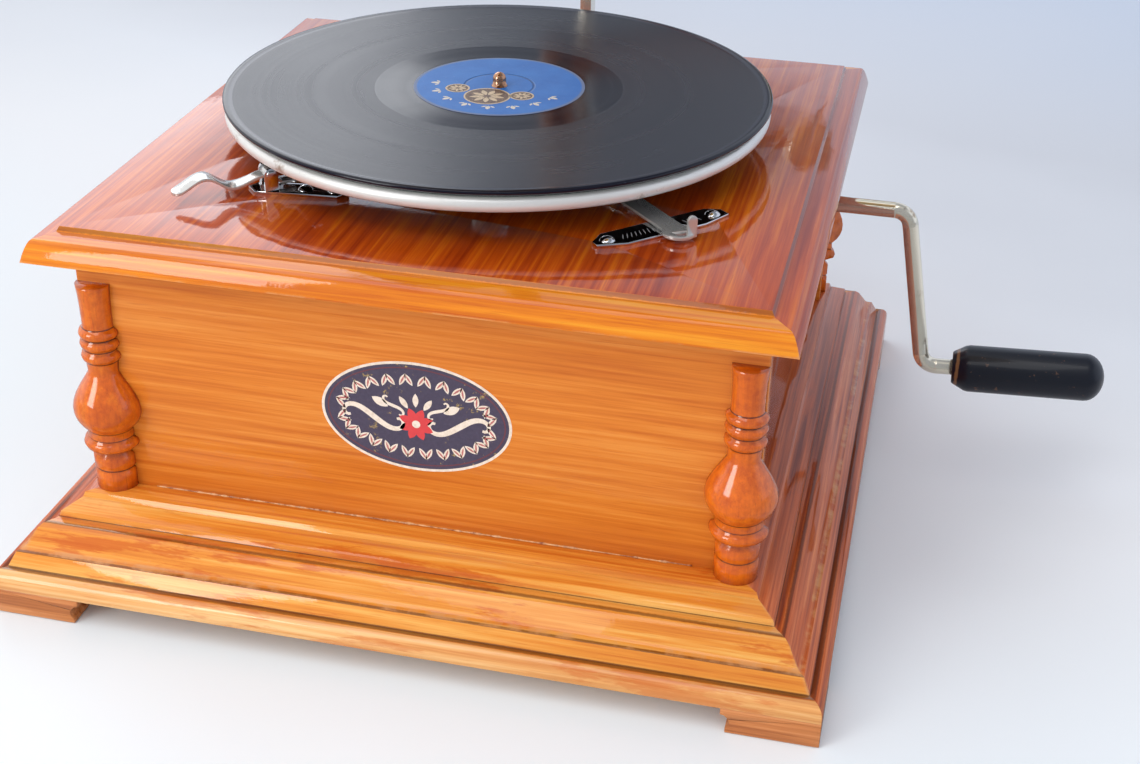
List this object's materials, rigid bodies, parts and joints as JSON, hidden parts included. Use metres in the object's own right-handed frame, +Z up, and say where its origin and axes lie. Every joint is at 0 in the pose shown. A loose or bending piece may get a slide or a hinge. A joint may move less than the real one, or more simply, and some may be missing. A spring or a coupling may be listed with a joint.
{
  "type": "gramophone",
  "caption": "table gramophone with a square varnished wooden case, half columns at the corners, crank, 10-inch turntable, swinging tone arm and petal horn",
  "frame": {"origin": "on the ground under the middle of the square case, at the underside of the four feet", "axes": "+Z up; the front panel faces -Y; the crank is on the +X side"},
  "size_m": [0.497, 0.4656, 0.7326],
  "materials": {
    "case_wood": "gloss varnished",
    "inner_wood": "plain",
    "steel": "satin",
    "nickel": "polished",
    "brass": "polished",
    "spring_steel": "blued",
    "iron": "painted black",
    "felt": "felt",
    "shellac": "pressed shellac",
    "rubber": "soft",
    "handle_wood": "black varnish",
    "mica": "thin sheet"
  },
  "bodies": {
    "case": {"top_board": "case_wood", "front_panel": "case_wood", "back_panel": "case_wood", "left_panel": "case_wood", "right_panel": "case_wood", "columns": "case_wood", "moulding_front": "case_wood", "moulding_back": "case_wood", "moulding_left": "case_wood", "moulding_right": "case_wood", "skirt_front": "case_wood", "skirt_back": "case_wood", "skirt_left": "case_wood", "skirt_right": "case_wood", "feet": "case_wood", "bottom_board": "inner_wood", "corner_posts": "inner_wood", "wood_screws": "steel", "motor_plate": "iron", "bottom_plate": "iron", "motor_pillars": "steel", "motor_bolts": "steel", "rubber_washers": "rubber", "crank_bush": "brass", "bearing_brackets": "steel", "brake_plate": "nickel", "deck_screws": "nickel", "regulator_plate": "nickel", "rear_bracket": "nickel"},
    "turntable": {"spindle": "steel", "worm_wheel": "brass", "platter": "nickel", "platter_felt": "felt", "record": "shellac"},
    "centre": {"centre_arbor": "steel", "centre_wheel": "brass"},
    "barrel": {"spring_barrel": "brass", "barrel_cover": "brass", "mainspring": "spring_steel"},
    "governor": {"governor_shaft": "steel", "governor_weights": "brass", "governor_springs": "spring_steel", "governor_disc": "brass"},
    "crank": {"crank_rod": "nickel", "winding_shaft": "steel"},
    "arbor": {"barrel_arbor": "steel", "winding_wheel": "steel"},
    "pawl": {"pawl": "steel"},
    "handle": {"crank_handle": "handle_wood"},
    "brake": {"brake_lever": "nickel"},
    "regulator": {"regulator_lever": "nickel"},
    "speed": {"speed_lever": "steel"},
    "swivel": {"arm_swivel": "brass"},
    "arm": {"tonearm": "brass"},
    "sound_box": {"soundbox": "nickel", "diaphragm": "mica", "needle_bar": "nickel", "needle": "steel"},
    "horn": {"horn_elbow": "brass", "horn": "brass"}
  },
  "joints": [
    {"name": "turntable_spin", "type": "hinge", "parent": "case", "child": "turntable", "pos_m": [0, 0, 0.175], "axis": [0, 0, 1], "continuous": true},
    {"name": "centre_spin", "type": "hinge", "parent": "case", "child": "centre", "pos_m": [-0.03462, -0.0144, 0.1], "axis": [0, 0, 1], "continuous": true},
    {"name": "barrel_spin", "type": "hinge", "parent": "case", "child": "barrel", "pos_m": [-0.04, 0.0343, 0.11], "axis": [0, 0, 1], "continuous": true},
    {"name": "governor_spin", "type": "hinge", "parent": "case", "child": "governor", "pos_m": [0.02, -0.0245, 0.1305], "axis": [1, 0, 0], "continuous": true},
    {"name": "crank_turn", "type": "hinge", "parent": "case", "child": "crank", "pos_m": [0.15, 0.0343, 0.1446], "axis": [1, 0, 0], "continuous": true},
    {"name": "arbor_turn", "type": "hinge", "parent": "case", "child": "arbor", "pos_m": [-0.04, 0.0343, 0.13], "axis": [0, 0, 1], "continuous": true},
    {"name": "handle_spin", "type": "hinge", "parent": "crank", "child": "handle", "pos_m": [0.205, 0.0343, 0.0646], "axis": [0.9986, 0, 0.0523], "continuous": true},
    {"name": "pawl_lift", "type": "hinge", "parent": "case", "child": "pawl", "pos_m": [-0.06685, 0.0498, 0.1306], "axis": [0, 0, 1], "range_deg": [-3.5, 12]},
    {"name": "brake_press", "type": "hinge", "parent": "case", "child": "brake", "pos_m": [-0.0785, -0.088, 0.1832], "axis": [0.6293, -0.7771, 0], "range_deg": [-4, 5]},
    {"name": "regulator_turn", "type": "hinge", "parent": "case", "child": "regulator", "pos_m": [0.06839, -0.05581, 0.177], "axis": [0, 0, 1], "range_deg": [-18, 18]},
    {"name": "speed_swing", "type": "hinge", "parent": "case", "child": "speed", "pos_m": [0.07519, -0.04781, 0.1365], "axis": [0, 0, 1], "range_deg": [-6, 6]},
    {"name": "arm_swing", "type": "hinge", "parent": "case", "child": "swivel", "pos_m": [-0.008, 0.15, 0.253], "axis": [0, 0, 1], "range_deg": [-89, 6]},
    {"name": "arm_lift", "type": "hinge", "parent": "swivel", "child": "arm", "pos_m": [-0.008, 0.15, 0.24], "axis": [0.5299, -0.848, 0], "range_deg": [0, 15]},
    {"name": "box_turn", "type": "hinge", "parent": "arm", "child": "sound_box", "pos_m": [0.131, 0.21799, 0.24], "axis": [0.5299, -0.848, 0], "range_deg": [0, 110]},
    {"name": "horn_turn", "type": "hinge", "parent": "case", "child": "horn", "pos_m": [-0.008, 0.15, 0.299], "axis": [0, 0, 1], "range_deg": [-90, 90]}
  ],
  "couplings": [
    {"joint": "centre_spin", "follows": "turntable_spin", "ratio": -0.25},
    {"joint": "barrel_spin", "follows": "turntable_spin", "ratio": 0.041667},
    {"joint": "governor_spin", "follows": "turntable_spin", "ratio": -10},
    {"joint": "arbor_turn", "follows": "crank_turn", "ratio": 0.33333},
    {"joint": "speed_swing", "follows": "regulator_turn", "ratio": 0.33333}
  ]
}
